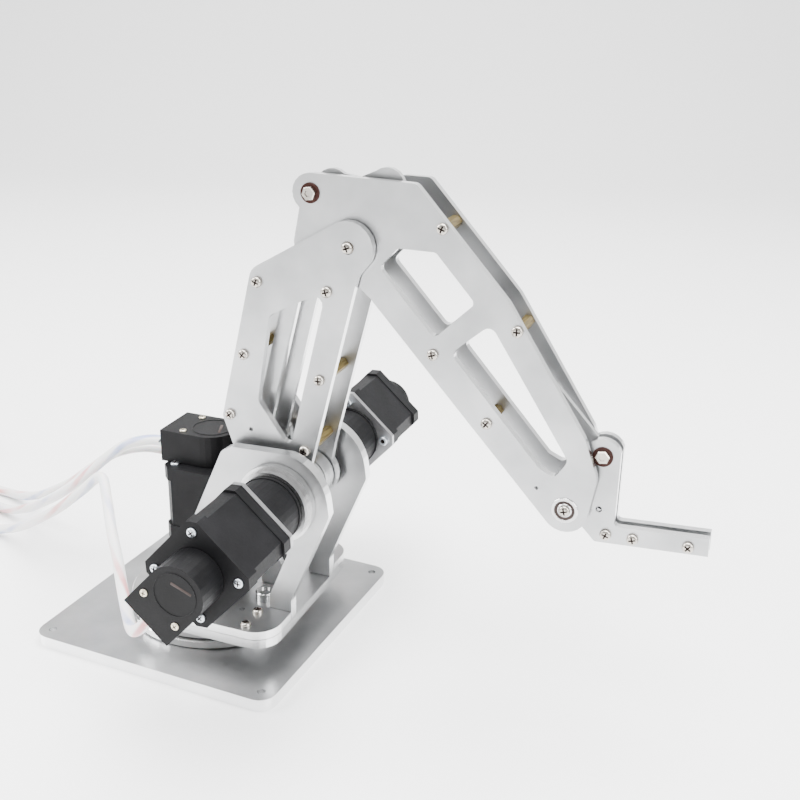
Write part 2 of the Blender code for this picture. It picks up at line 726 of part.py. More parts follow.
def make_bracket(frame):
    """Two L plates on the wrist axle, which the levelling rod keeps at one tilt."""
    corners = sharp(arc(BRACKET_PIVOT, 9, 150, 20, 7))
    corners += [(224.6, 104.2, 2), (269.6, 106.8, 0), (269.9, 97.3, 0), (215.6, 94.2, 2), (208.5, 101.6, 2)]
    corners += sharp(arc(WRIST, 8, -60, -190, 8))
    clear_pin = PIN + BORE_CLEARANCE
    holes = [circle(WRIST, clear_pin), circle(BRACKET_PIVOT, clear_pin), circle((216.5, 111.9), 1.6)]
    for name, side in (("near", -1), ("far", 1)):
        faces = [side * y for y in BRACKET_Y]
        standing_plate(f"bracket_plate_{name}", frame, "plate_aluminium", rounded(corners), holes, faces)
    race = BEARING - BORE_CLEARANCE
    inner, outer = FOREARM_Y
    half = [(PIN, inner + GAP), (race, inner + GAP), (race, outer - GAP), (0, outer - GAP)]
    axle = [(radius, -station) for radius, station in half[::-1]] + half
    turned_piece("wrist_axle", frame, "turned_steel", axle, "y", 24)
    outer = BRACKET_Y[1]
    head_radius, head_top, head_seat = 3.0, -outer - 1.6, -outer - GAP
    bolt = [(0, head_top), (head_radius, head_top), (head_radius, head_seat)]
    bolt += [(PIN, head_seat), (PIN, outer), (0, outer)]
    pin_piece("bracket_pivot_bolt", frame, BRACKET_PIVOT, bolt)


# ---------------------------------------------------------------- cables

# Each cable's way from its socket down to the table and towards its coil, in the turret's frame
CABLE_ROUTES = {
    "yaw": (
        (-30.3, 0, 103.0),
        (-42, 0, 102),
        (-58, 1, 96),
        (-74, 3, 84),
        (-96, 9, 65),
        (-120, 18, 46),
        (-145, 29, 29),
        (-166, 39, 16),
        (-188, 46.5, 6.5),
        (-209, 53.2, 3.1),
    ),
    "near": (
        (34.0, -116.3, 72.4),
        (26.0, -116.3, 63.5),
        (16, -109, 55.5),
        (2, -93, 52),
        (-13, -75, 53.5),
        (-28, -57, 58.5),
        (-43, -40, 65),
        (-57, -23, 72),
        (-72, -7, 76),
        (-92, 0, 60),
        (-114, 4, 42),
        (-138, 9, 26),
        (-158, 16, 14),
        (-176, 22, 6),
        (-190, 20, 3.3),
        (-197, 6, 3.1),
        (-197, -15, 3.1),
        (-197, -33, 3.1),
    ),
    "far": (
        (34.0, 116.3, 72.4),
        (26.0, 116.3, 63.5),
        (16, 109, 55.5),
        (2, 93, 52.5),
        (-13, 75, 56),
        (-30, 56, 66),
        (-46, 38, 77),
        (-60, 24, 84.5),
        (-77, 17, 81),
        (-98, 22, 66),
        (-124, 34, 46),
        (-150, 46, 29),
        (-172, 57, 16),
        (-194, 66, 7),
        (-214, 72, 3.6),
        (-236, 75, 3.1),
        (-262, 76, 3.1),
        (-286, 73.2, 3.1),
    ),
}
# Each coil's centre on the table, and the bearing of its plug from that centre in degrees
COILS = {"yaw": ((-243, 25), 73), "near": ((-234, -57), 253), "far": ((-310, 110), 244)}


def make_cables(frame):
    """A sleeved cable from each motor, its spare length coiled on the table, with a plug on the coil."""
    for name, route in CABLE_ROUTES.items():
        make_cable(f"{name}_motor_cable", frame, route)
        centre, bearing = COILS[name]
        make_coil(f"{name}_cable_coil", frame, centre)
        make_plug(f"{name}_cable_plug", frame, centre, bearing)


def smooth(route, step):
    """Points at even steps along the smooth curve through a route."""
    knots = [Vector(point) for point in route]
    knots = [2 * knots[0] - knots[1], *knots, 2 * knots[-1] - knots[-2]]
    dense = []
    for before, start, end, after in zip(knots, knots[1:], knots[2:], knots[3:]):
        for i in range(10):
            dense.append(between(before, start, end, after, i / 10))
    dense.append(knots[-2])
    gaps = [(b - a).length for a, b in zip(dense, dense[1:])]
    count = round(sum(gaps) / step)
    even = [dense[0]]
    walked = 0.0
    for gap, point in zip(gaps, dense[1:]):
        walked += gap
        if walked >= len(even) * sum(gaps) / count - 1e-6:
            even.append(point)
    return even


def between(before, start, end, after, part):
    """A Catmull-Rom curve's point, a part of the way from start to end."""
    bend = 2 * before - 5 * start + 4 * end - after
    twist = 3 * start - before - 3 * end + after
    return 0.5 * (2 * start + (end - before) * part + bend * part**2 + twist * part**3)


def make_cable(name, frame, route):
    """A round cable along a route."""
    points = smooth(route, CABLE_POINT_STEP)
    curve = bpy.data.curves.new(name, "CURVE")
    curve.dimensions = "3D"
    curve.bevel_depth = CABLE_RADIUS * MM
    curve.bevel_resolution = 2
    curve.use_fill_caps = True
    spline = curve.splines.new("POLY")
    spline.points.add(len(points) - 1)
    for knot, point in zip(spline.points, points):
        knot.co = (*(point * MM), 1)
    curve.materials.append(material("cable_sleeve"))
    cable = bpy.data.objects.new(name, curve)
    bpy.context.scene.collection.objects.link(cable)
    cable.parent = frame


def make_coil(name, frame, centre):
    """The outer shape of a coiled cable: a flat ring."""
    inner, outer = COIL_RADII
    low, high = COIL_Z
    profile = [(inner, low), (outer, low), (outer, high), (inner, high)]
    shape = turned_shape(profile, "z", centre, 24)
    add_piece(name, frame, "cable_sleeve", mesh_from(shape, name))


def make_plug(name, frame, centre, bearing):
    """A plug that lies on its coil, in line with the turns."""
    long, wide, high = PLUG_SIZE
    bottom = COIL_Z[1] + GAP
    shape = box_shape((-wide / 2, wide / 2), (-long / 2, long / 2), (bottom, bottom + high))
    bmesh.ops.translate(shape, vec=(PLUG_RADIUS, 0, 0), verts=shape.verts)
    turn = Matrix.Rotation(radians(bearing), 3, "Z")
    bmesh.ops.rotate(shape, cent=(0, 0, 0), matrix=turn, verts=shape.verts)
    bmesh.ops.translate(shape, vec=(*centre, 0), verts=shape.verts)
    add_piece(name, frame, "white_plastic", mesh_from(shape, name))


def main():
    """Builds the arm."""
    clear_scene()
    frames = make_frames()
    make_base()
    make_turret(frames["turret_frame"])
    make_motors(frames)
    make_upper_arm(frames["upper_arm_frame"])
    make_linkage(frames)
    make_forearm(frames["forearm_frame"])
    make_bracket(frames["bracket_frame"])
    make_cables(frames["turret_frame"])


main()
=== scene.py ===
"""Looks of the desktop robot arm: camera, cables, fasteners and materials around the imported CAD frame.

Places are in millimetres in the arm's frame, which is the row frame turned by the rest yaw:
X is the arm's reach, Y goes from the near motor to the far one, and Z is up.
"""

from math import atan2, ceil, cos, pi, radians, sin, tau

import bmesh
import bpy
from mathutils import Matrix, Vector


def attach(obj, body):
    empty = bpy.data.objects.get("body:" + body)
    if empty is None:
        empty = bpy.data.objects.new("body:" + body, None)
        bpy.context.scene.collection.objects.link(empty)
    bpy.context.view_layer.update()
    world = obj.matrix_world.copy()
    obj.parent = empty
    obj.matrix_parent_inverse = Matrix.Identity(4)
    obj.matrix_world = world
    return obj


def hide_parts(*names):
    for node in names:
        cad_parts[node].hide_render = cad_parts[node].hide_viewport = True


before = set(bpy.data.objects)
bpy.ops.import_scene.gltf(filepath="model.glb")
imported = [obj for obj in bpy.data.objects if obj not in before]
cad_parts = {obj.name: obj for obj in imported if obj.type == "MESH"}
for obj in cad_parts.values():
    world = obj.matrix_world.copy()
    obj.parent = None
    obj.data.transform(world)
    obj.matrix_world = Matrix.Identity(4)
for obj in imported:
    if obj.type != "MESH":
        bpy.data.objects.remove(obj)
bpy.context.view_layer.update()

MM = 0.001
REST_YAW = radians(2.7)
ARM = Matrix.Rotation(REST_YAW, 4, "Z") @ Matrix.Scale(MM, 4)
ARM_ACROSS = Vector((-sin(REST_YAW), cos(REST_YAW), 0))
SIDES = {"near": -1, "far": 1}
ROUND = 32

# Swing axes and pivots in the side view (X, Z), as in the CAD model
SHOULDER = (54.3, 94.9)
ELBOW = (88.3, 230.3)
WRIST = (201.1, 111.2)
REAR_LOBE = (66.7, 253.9)
POST_PIVOT = (41.3, 120.9)
BRACKET_PIVOT = (216.1, 139.7)

# Outer faces across the arm
ARM_FACE = 17.0
FOREARM_FACE = 12.0
BRACKET_FACE = 5.5

# Motors, from the mounting face outwards
MOTOR_FACE = 28.3
ARM_MOTOR_ROLL = 48.0
FLANGE_AT = 37.5
BODY_AT = 40.5
BODY_END = 82.2
CAP_END = 100.7
YAW_BODY_END = 73.7
YAW_CAP_END = 92.2
YAW_FACE = 24.3
CAP_REACH = 24.7
MOTOR_SCREW_SQUARE = 31.0

# Cables: each route from its socket to the table and on towards its coil
CABLE_RADIUS = 3.0
CABLE_ROUTES = {
    "yaw": (
        (-30.3, 0, 103.0),
        (-42, 0, 102),
        (-58, 1, 96),
        (-74, 3, 84),
        (-96, 9, 65),
        (-120, 18, 46),
        (-145, 29, 29),
        (-166, 39, 16),
        (-188, 46.5, 6.5),
        (-209, 53.2, 3.1),
    ),
    "near": (
        (34.0, -116.3, 72.4),
        (26.0, -116.3, 63.5),
        (16, -109, 55.5),
        (2, -93, 52),
        (-13, -75, 53.5),
        (-28, -57, 58.5),
        (-43, -40, 65),
        (-57, -23, 72),
        (-72, -7, 76),
        (-92, 0, 60),
        (-114, 4, 42),
        (-138, 9, 26),
        (-158, 16, 14),
        (-176, 22, 6),
        (-190, 20, 3.3),
        (-197, 6, 3.1),
        (-197, -15, 3.1),
        (-197, -33, 3.1),
    ),
    "far": (
        (34.0, 116.3, 72.4),
        (26.0, 116.3, 63.5),
        (16, 109, 55.5),
        (2, 93, 52.5),
        (-13, 75, 56),
        (-30, 56, 66),
        (-46, 38, 77),
        (-60, 24, 84.5),
        (-77, 17, 81),
        (-98, 22, 66),
        (-124, 34, 46),
        (-150, 46, 29),
        (-172, 57, 16),
        (-194, 66, 7),
        (-214, 72, 3.6),
        (-236, 75, 3.1),
        (-262, 76, 3.1),
        (-286, 73.2, 3.1),
    ),
}
# Each coil: its centre, the bearing where its cable meets it, its sense, and the turns of its upper layer
COILS = {
    "yaw": ((-243, 25), 72.5, 1, 1.8),
    "near": ((-234, -57), 0, -1, 1.095),
    "far": ((-310, 110), -90, -1, 0.87),
}
COIL_OUTER = 37.0
COIL_INNER = 25.0
LAYER = 6.1
COIL_TOP = 12.5
WIRE_COLOURS = {
    "red": (0.55, 0.02, 0.02),
    "blue": (0.02, 0.10, 0.45),
    "green": (0.02, 0.25, 0.12),
    "black": (0.01, 0.01, 0.012),
}
SLEEVE_COLOUR = (0.74, 0.74, 0.735)


# ---------------------------------------------------------------- materials


def add_node(tree, kind, **values):
    """A shader node with some of its inputs or settings filled in."""
    made = tree.nodes.new(kind)
    for name, value in values.items():
        socket = name.replace("_", " ").title()
        if socket in made.inputs:
            made.inputs[socket].default_value = value
        else:
            setattr(made, name, value)
    return made


def plain_material(name, colour, roughness, metallic=0.0):
    """A Principled material and its shader node."""
    made = bpy.data.materials.new(name)
    made.use_nodes = True
    shader = made.node_tree.nodes["Principled BSDF"]
    shader.inputs["Base Color"].default_value = (*colour, 1)
    shader.inputs["Roughness"].default_value = roughness
    shader.inputs["Metallic"].default_value = metallic
    return made, shader


def stretched_noise(tree, stretch, scale, detail=3.0):
    """Noise in the piece's own coordinates, stretched into grain by scaling each axis."""
    place = tree.nodes.new("ShaderNodeTexCoord")
    mapping = tree.nodes.new("ShaderNodeMapping")
    mapping.inputs["Rotation"].default_value = (0, 0, -REST_YAW)
    mapping.inputs["Scale"].default_value = stretch
    noise = add_node(tree, "ShaderNodeTexNoise", scale=scale, detail=detail)
    tree.links.new(place.outputs["Object"], mapping.inputs["Vector"])
    tree.links.new(mapping.outputs["Vector"], noise.inputs["Vector"])
    return noise.outputs["Fac"]


def ramp(tree, value, low, high, start=0.0, end=1.0):
    """A value mapped from one range to another."""
    made = add_node(tree, "ShaderNodeMapRange")
    made.inputs["From Min"].default_value = start
    made.inputs["From Max"].default_value = end
    made.inputs["To Min"].default_value = low
    made.inputs["To Max"].default_value = high
    tree.links.new(value, made.inputs["Value"])
    return made.outputs["Result"]


def mix_values(tree, share, first, second):
    """A blend of two values."""
    made = tree.nodes.new("ShaderNodeMix")
    tree.links.new(share, made.inputs["Factor"])
    tree.links.new(first, made.inputs["A"])
    tree.links.new(second, made.inputs["B"])
    return made.outputs["Result"]


def blend_colours(tree, share, first, second):
    """A blend of two colours."""
    made = tree.nodes.new("ShaderNodeMix")
    made.data_type = "RGBA"
    tree.links.new(share, made.inputs["Factor"])
    tree.links.new(first, made.inputs[6])
    tree.links.new(second, made.inputs[7])
    return made.outputs[2]


def tint(tree, value, dark, light, start=0.3, end=0.7):
    """A colour ramp between two colours."""
    made = tree.nodes.new("ShaderNodeValToRGB")
    made.color_ramp.elements[0].position = start
    made.color_ramp.elements[1].position = end
    made.color_ramp.elements[0].color = (*dark, 1)
    made.color_ramp.elements[1].color = (*light, 1)
    tree.links.new(value, made.inputs["Fac"])
    return made.outputs["Color"]


def add_bump(tree, shader, height, strength, distance):
    """Fine relief from a height value."""
    bump = add_node(tree, "ShaderNodeBump", strength=strength, distance=distance)
    tree.links.new(height, bump.inputs["Height"])
    tree.links.new(bump.outputs["Normal"], shader.inputs["Normal"])


def facing(tree, axis):
    """1 where a face looks along the axis either way, 0 on the edges."""
    place = tree.nodes.new("ShaderNodeTexCoord")
    dot = add_node(tree, "ShaderNodeVectorMath", operation="DOT_PRODUCT")
    dot.inputs[1].default_value = axis
    size = add_node(tree, "ShaderNodeMath", operation="ABSOLUTE")
    tree.links.new(place.outputs["Normal"], dot.inputs[0])
    tree.links.new(dot.outputs["Value"], size.inputs[0])
    return ramp(tree, size.outputs[0], 0.0, 1.0, 0.6, 0.9)


def plate_material(name, axis, grain):
    """Satin aluminium sheet: fine grain on its faces, smoother milled edges with faint cutter lines, and the
    edges painted far lighter than the faces as a painted highlight.
    """
    made, shader = plain_material(name, (0.8, 0.8, 0.8), 0.3, 1.0)
    tree = made.node_tree
    face = facing(tree, axis)
    fine = stretched_noise(tree, grain, 900)
    cloudy = stretched_noise(tree, (1, 1, 1), 35, 4)
    milled = stretched_noise(tree, (60, 4, 60), 60, 1)
    face_rough = ramp(tree, fine, 0.27, 0.41)
    edge_rough = ramp(tree, milled, 0.16, 0.30)
    tree.links.new(mix_values(tree, face, edge_rough, face_rough), shader.inputs["Roughness"])
    # Painted highlight: the edge walls get nearly twice the colour of the broad faces, standing in for light
    # caught along the plates' edges.
    edge_highlight_colour = tint(tree, cloudy, (0.78, 0.785, 0.79), (0.86, 0.865, 0.87))
    face_colour = tint(tree, cloudy, (0.36, 0.365, 0.37), (0.49, 0.495, 0.50))
    tree.links.new(blend_colours(tree, face, edge_highlight_colour, face_colour), shader.inputs["Base Color"])
    add_bump(tree, shader, mix_values(tree, face, milled, fine), 0.12, 0.0002)
    return made


def steel_material(name, colour, low, high):
    """Turned or plated steel with fine turning lines and slight clouding."""
    made, shader = plain_material(name, colour, low, 1.0)
    tree = made.node_tree
    lines = stretched_noise(tree, (1, 30, 30), 120, 2)
    tree.links.new(ramp(tree, lines, low, high), shader.inputs["Roughness"])
    lighter = tuple(min(1, part * 1.12) for part in colour)
    cloudy = stretched_noise(tree, (1, 1, 1), 220, 3)
    tree.links.new(tint(tree, cloudy, colour, lighter), shader.inputs["Base Color"])
    add_bump(tree, shader, lines, 0.08, 0.0001)
    return made


def black_material(name, colour, roughness, grain_scale, relief):
    """Matt black with a fine grain and faint dusting."""
    made, shader = plain_material(name, colour, roughness)
    tree = made.node_tree
    shader.inputs["Specular IOR Level"].default_value = 0.12
    grain = stretched_noise(tree, (1, 1, 1), grain_scale, 4)
    dust = stretched_noise(tree, (1, 1, 1), 60, 5)
    paler = tuple(part * 1.9 for part in colour)
    tree.links.new(tint(tree, dust, colour, paler, 0.35, 0.8), shader.inputs["Base Color"])
    tree.links.new(ramp(tree, grain, roughness - 0.1, roughness + 0.1), shader.inputs["Roughness"])
    add_bump(tree, shader, grain, relief, 0.0002)
    return made


def brass_material():
    """Dull drawn brass, darker in streaks along the bar."""
    made, shader = plain_material("brass_bar", (0.5, 0.4, 0.2), 0.34, 1.0)
    tree = made.node_tree
    streaks = stretched_noise(tree, (6, 0.4, 6), 260, 3)
    tree.links.new(tint(tree, streaks, (0.15, 0.105, 0.035), (0.38, 0.29, 0.11)), shader.inputs["Base Color"])
    tree.links.new(ramp(tree, streaks, 0.26, 0.44), shader.inputs["Roughness"])
    add_bump(tree, shader, streaks, 0.1, 0.0002)
    return made


def moulded_material(name, colour):
    """Slightly glossy moulded plastic with a faint orange-peel surface."""
    made, shader = plain_material(name, colour, 0.4)
    tree = made.node_tree
    peel = stretched_noise(tree, (1, 1, 1), 700, 2)
    tree.links.new(ramp(tree, peel, 0.34, 0.48), shader.inputs["Roughness"])
    duller = tuple(part * 0.9 for part in colour)
    tree.links.new(tint(tree, peel, duller, colour), shader.inputs["Base Color"])
    shader.inputs["Subsurface Weight"].default_value = 0.05
    shader.inputs["Subsurface Scale"].default_value = 0.001
    add_bump(tree, shader, peel, 0.05, 0.0001)
    return made


def sleeve_material():
    """Milky sleeve: red and blue wires show through as soft streaks that wind slowly round it."""
    made, shader = plain_material("milky_sleeve", SLEEVE_COLOUR, 0.36)
    tree = made.node_tree
    place = tree.nodes.new("ShaderNodeUVMap")
    place.uv_map = "along"
    apart = tree.nodes.new("ShaderNodeSeparateXYZ")
    tree.links.new(place.outputs["UV"], apart.inputs["Vector"])
    colour = None
    for turns, offset, shade in ((9.0, 0.1, (0.62, 0.16, 0.17)), (9.0, 0.58, (0.20, 0.26, 0.55))):
        streak = wire_streak(tree, apart, turns, offset)
        colour = overlay_colour(tree, streak, colour, shade)
    tree.links.new(colour, shader.inputs["Base Color"])
    shader.inputs["Subsurface Weight"].default_value = 0.25
    shader.inputs["Subsurface Scale"].default_value = 0.002
    shader.inputs["Coat Weight"].default_value = 0.3
    shader.inputs["Coat Roughness"].default_value = 0.2
    ribs = stretched_noise(tree, (1, 1, 1), 500, 2)
    add_bump(tree, shader, ribs, 0.08, 0.0002)
    return made


def wire_streak(tree, apart, turns, offset):
    """How much of one wire shows: a band that winds round the sleeve and fades in and out."""
    along = add_node(tree, "ShaderNodeMath", operation="MULTIPLY")
    along.inputs[1].default_value = turns
    around = add_node(tree, "ShaderNodeMath", operation="ADD")
    shifted = add_node(tree, "ShaderNodeMath", operation="ADD")
    shifted.inputs[1].default_value = offset
    part = add_node(tree, "ShaderNodeMath", operation="PINGPONG")
    part.inputs[1].default_value = 0.5
    fade = add_node(tree, "ShaderNodeTexNoise", scale=22.0, detail=2.0)
    fade.noise_dimensions = "1D"
    tree.links.new(apart.outputs["X"], along.inputs[0])
    tree.links.new(along.outputs[0], around.inputs[0])
    tree.links.new(apart.outputs["Y"], around.inputs[1])
    tree.links.new(around.outputs[0], shifted.inputs[0])
    tree.links.new(shifted.outputs[0], part.inputs[0])
    tree.links.new(apart.outputs["X"], fade.inputs["W"])
    band = ramp(tree, part.outputs[0], 0.75, 0.0, 0.05, 0.12)
    seen = ramp(tree, fade.outputs["Fac"], 0.15, 1.0, 0.42, 0.62)
    both = add_node(tree, "ShaderNodeMath", operation="MULTIPLY")
    tree.links.new(band, both.inputs[0])
    tree.links.new(seen, both.inputs[1])
    return both.outputs[0]


def overlay_colour(tree, share, under, over):
    """A colour over another one, or over the bare sleeve, by a share."""
    made = tree.nodes.new("ShaderNodeMix")
    made.data_type = "RGBA"
    made.inputs[6].default_value = (*SLEEVE_COLOUR, 1)
    made.inputs[7].default_value = (*over, 1)
    tree.links.new(share, made.inputs["Factor"])
    if under:
        tree.links.new(under, made.inputs[6])
    return made.outputs[2]


def make_materials():
    """Every material, by name."""
    made = {
        "side_plate": plate_material("aluminium_standing", ARM_ACROSS, (0.25, 1, 1.6)),
        "flat_plate": plate_material("aluminium_lying", (0, 0, 1), (0.25, 1.6, 1)),
        "turned": steel_material("turned_steel_ring", (0.52, 0.52, 0.52), 0.14, 0.3),
        "flange_grey": steel_material("flange_grey", (0.40, 0.40, 0.41), 0.28, 0.42),
        "nickel": steel_material("nickel_screw", (0.42, 0.39, 0.35), 0.18, 0.34),
        "zinc": steel_material("zinc_screw", (0.56, 0.60, 0.64), 0.2, 0.4),
        "pale_brass": steel_material("pale_brass_screw", (0.66, 0.60, 0.46), 0.22, 0.4),
        "dark_washer": black_material("dark_washer", (0.022, 0.007, 0.005), 0.4, 500, 0.1),
        "motor_black": black_material("motor_black", (0.004, 0.004, 0.0045), 0.5, 900, 0.25),
        "cap_black": black_material("cap_black", (0.003, 0.003, 0.0034), 0.46, 1400, 0.35),
        # The shield material also colours the cut faces of screw recesses, sockets, slots and connector
        # slots: dark painted shade in those hollows.
        "shield_and_recess_shade": black_material("bearing_shield_and_recess_shade", (0.03, 0.022, 0.02), 0.45, 500, 0.1),
        "brass": brass_material(),
        "white": moulded_material("white_nylon", (0.8, 0.8, 0.78)),
        "tie": moulded_material("tie_nylon", (0.75, 0.75, 0.73)),
        "sleeve": sleeve_material(),
    }
    for name, colour in WIRE_COLOURS.items():
        made[f"wire_{name}"] = moulded_material(f"wire_{name}", colour)
    return made


# ---------------------------------------------------------------- mesh building


def in_arm(point):
    """A point of the arm's frame as a point of the scene."""
    return ARM @ Vector(point)


def arm_place(point, outward=(0, 0, 1), spin=0.0):
    """A piece's place in the arm's frame, with the piece's own Z pointing outward."""
    turn = Vector((0, 0, 1)).rotation_difference(Vector(outward)).to_matrix().to_4x4()
    spun = Matrix.Rotation(radians(spin), 4, "Z")
    return Matrix.Rotation(REST_YAW, 4, "Z") @ Matrix.Translation(Vector(point) * MM) @ turn @ spun


def motor_places():
    """Each motor's frame: Z along the motor outwards and X towards the square end of its cap."""
    row = Matrix.Rotation(REST_YAW, 4, "Z")
    made = {"yaw": row @ Matrix.Translation((0, 0, YAW_FACE * MM)) @ Matrix.Rotation(pi, 4, "Z")}
    for name, side in SIDES.items():
        middle = Matrix.Translation(Vector((SHOULDER[0], side * MOTOR_FACE, SHOULDER[1])) * MM)
        sideways = Matrix.Rotation(radians(-90 * side), 4, "X")
        roll = Matrix.Rotation(radians(180 - side * ARM_MOTOR_ROLL), 4, "Z")
        made[name] = row @ middle @ sideways @ roll
    return made


def at(place, x, y, z, spin=0.0):
    """A place inside another one, in millimetres."""
    return place @ Matrix.Translation(Vector((x, y, z)) * MM) @ Matrix.Rotation(radians(spin), 4, "Z")


def add_piece(name, mesh, body, place):
    """A piece that moves with a body."""
    piece = bpy.data.objects.new(name, mesh)
    bpy.context.scene.collection.objects.link(piece)
    piece.matrix_world = place
    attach(piece, body)
    return piece


def mesh_from(shape, name, material, sharp=35):
    """A finished mesh in metres from a shape drawn in millimetres."""
    bmesh.ops.recalc_face_normals(shape, faces=shape.faces[:])
    bmesh.ops.scale(shape, vec=(MM, MM, MM), verts=shape.verts[:])
    mesh = bpy.data.meshes.new(name)
    shape.to_mesh(mesh)
    shape.free()
    mesh.materials.append(material)
    mesh.shade_smooth()
    mesh.set_sharp_from_angle(angle=radians(sharp))
    return mesh


def lathe(profile, sides=ROUND):
    """A shape turned round Z from (radius, height) points."""
    shape = bmesh.new()
    rings = []
    for radius, height in profile:
        count = sides if radius else 1
        turns = [tau * index / count for index in range(count)]
        rings.append([shape.verts.new((radius * cos(turn), radius * sin(turn), height)) for turn in turns])
    for lower, upper in zip(rings, rings[1:]):
        join_rings(shape, lower, upper)
    return shape


def join_rings(shape, lower, upper):
    """Faces between two rings, either of which may be a single point."""
    count = max(len(lower), len(upper))
    for index in range(count):
        after = (index + 1) % count
        corners = (
            lower[index % len(lower)],
            lower[after % len(lower)],
            upper[after % len(upper)],
            upper[index % len(upper)],
        )
        shape.faces.new(tuple(dict.fromkeys(corners)))


def block(size, centre=(0, 0, 0), bevel=0.3):
    """A block with rounded edges."""
    shape = bmesh.new()
    bmesh.ops.create_cube(shape, size=1)
    bmesh.ops.scale(shape, vec=size, verts=shape.verts[:])
    bmesh.ops.translate(shape, vec=centre, verts=shape.verts[:])
    bmesh.ops.bevel(shape, geom=shape.edges[:], offset=bevel, segments=2, profile=0.5, affect="EDGES")
    return shape


def join(*shapes):
    """Several shapes as one."""
    whole = shapes[0]
    for other in shapes[1:]:
        carrier = bpy.data.meshes.new("carrier")
        other.to_mesh(carrier)
        other.free()
        whole.from_mesh(carrier)
        bpy.data.meshes.remove(carrier)
    return whole


def cut_away(mesh, tool):
    """The mesh with a tool's volume cut out; the cut keeps the tool's material."""
    holder = bpy.data.objects.new("cut_holder", mesh)
    cutter = bpy.data.objects.new("cut_tool", tool)
    for item in (holder, cutter):
        bpy.context.scene.collection.objects.link(item)
    cutting = holder.modifiers.new("cut", "BOOLEAN")
    cutting.operation = "DIFFERENCE"
    cutting.solver = "EXACT"
    cutting.material_mode = "TRANSFER"
    cutting.object = cutter
    bpy.context.view_layer.update()
    made = bpy.data.meshes.new_from_object(holder.evaluated_get(bpy.context.evaluated_depsgraph_get()))
    made.name = mesh.name
    made.shade_smooth()
    made.set_sharp_from_angle(angle=radians(35))
    for item in (holder, cutter):
        bpy.data.objects.remove(item)
    return made


def tube(points, radius, sides=16):
    """A round tube along a line of points in millimetres, with its length and turn as coordinates."""
    shape = bmesh.new()
    along = shape.loops.layers.uv.new("along")
    line = [Vector(point) for point in points]
    across = (line[1] - line[0]).orthogonal().normalized()
    rings, travelled = [], [0.0]
    for index, here in enumerate(line):
        ahead = (line[min(index + 1, len(line) - 1)] - line[max(index - 1, 0)]).normalized()
        across = (across - ahead * across.dot(ahead)).normalized()
        up = ahead.cross(across)
        turns = [tau * side / sides for side in range(sides)]
        spokes = [across * cos(turn) + up * sin(turn) for turn in turns]
        rings.append([shape.verts.new(here + radius * spoke) for spoke in spokes])
        if index:
            travelled.append(travelled[-1] + (here - line[index - 1]).length * MM)
    for index, (lower, upper) in enumerate(zip(rings, rings[1:])):
        for side in range(sides):
            after = (side + 1) % sides
            face = shape.faces.new((lower[side], lower[after], upper[after], upper[side]))
            places = ((index, side), (index, side + 1), (index + 1, side + 1), (index + 1, side))
            for loop, (station, turn) in zip(face.loops, places):
                loop[along].uv = (travelled[station], turn / sides)
    shape.faces.new(rings[0][::-1])
    shape.faces.new(rings[-1])
    return shape


def smooth_line(route, step):
    """A curve through the route's points, with a point about every step."""
    points = [Vector(point) for point in route]
    padded = [2 * points[0] - points[1], *points, 2 * points[-1] - points[-2]]
    line = []
    for before, start, end, after in zip(padded, padded[1:], padded[2:], padded[3:]):
        count = max(1, ceil((end - start).length / step))
        line += [between(before, start, end, after, index / count) for index in range(count)]
    return [*line, points[-1]]


def between(before, start, end, after, part):
    """A point of the Catmull-Rom curve between start and end."""
    linear = (end - before) * part
    square = (2 * before - 5 * start + 4 * end - after) * part**2
    cube = (3 * start - before - 3 * end + after) * part**3
    return start + 0.5 * (linear + square + cube)


# ---------------------------------------------------------------- cables


def ease(part):
    """A smooth step from 0 to 1."""
    part = min(1.0, max(0.0, part))
    return part * part * (3 - 2 * part)


def coil_line(centre, start, sense, upper_turns):
    """A cable's coil: two turns inwards on the table, then up and outwards over them to the connector."""
    per_turn = 24
    climb = 1 / 6
    lie = CABLE_RADIUS + 0.1
    line = []

    def add(turn, radius, height):
        angle = radians(start + sense * 360 * turn)
        line.append((centre[0] + radius * cos(angle), centre[1] + radius * sin(angle), height))

    for index in range(2 * per_turn + 1):
        add(index / per_turn, COIL_OUTER - 6 * index / per_turn, lie)
    steps = int(upper_turns * per_turn)
    for index in range(1, steps + 1):
        turn = upper_turns * index / steps
        add(2 + turn, COIL_INNER + 6 * max(0, turn - climb), lie + LAYER * ease(turn / climb))
    last = COIL_INNER + 6 * (upper_turns - climb)
    tail_steps = 8
    lift = COIL_TOP + 3.55 - lie - LAYER
    for index in range(1, tail_steps + 1):
        part = index / tail_steps
        radius = last + (31 - last) * ease((part - 0.4) / 0.6)
        add(2 + upper_turns + 0.16 * part, radius, lie + LAYER + lift * ease(part / 0.7))
    return line


def make_cables(materials):
    """Each motor's cable from its cap to a coil on the table, with its connector and ties."""
    for name, route in CABLE_ROUTES.items():
        centre, start, sense, upper_turns = COILS[name]
        coil = coil_line(centre, start, sense, upper_turns)
        line = [in_arm(point) / MM for point in smooth_line([*route, *coil], 2.5)]
        mesh = mesh_from(tube(line, CABLE_RADIUS), f"{name}_cable", materials["sleeve"], 60)
        cable = add_piece(f"{name}_cable", mesh, "turret", Matrix())
        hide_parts(f"{name}_motor_cable", f"{name}_cable_coil")
        connector = make_connector(name, line, materials)
        for index, turn in enumerate((100, 235)):
            make_tie(f"{name}_cable_tie_{index + 1}", centre, start + turn, materials["tie"])


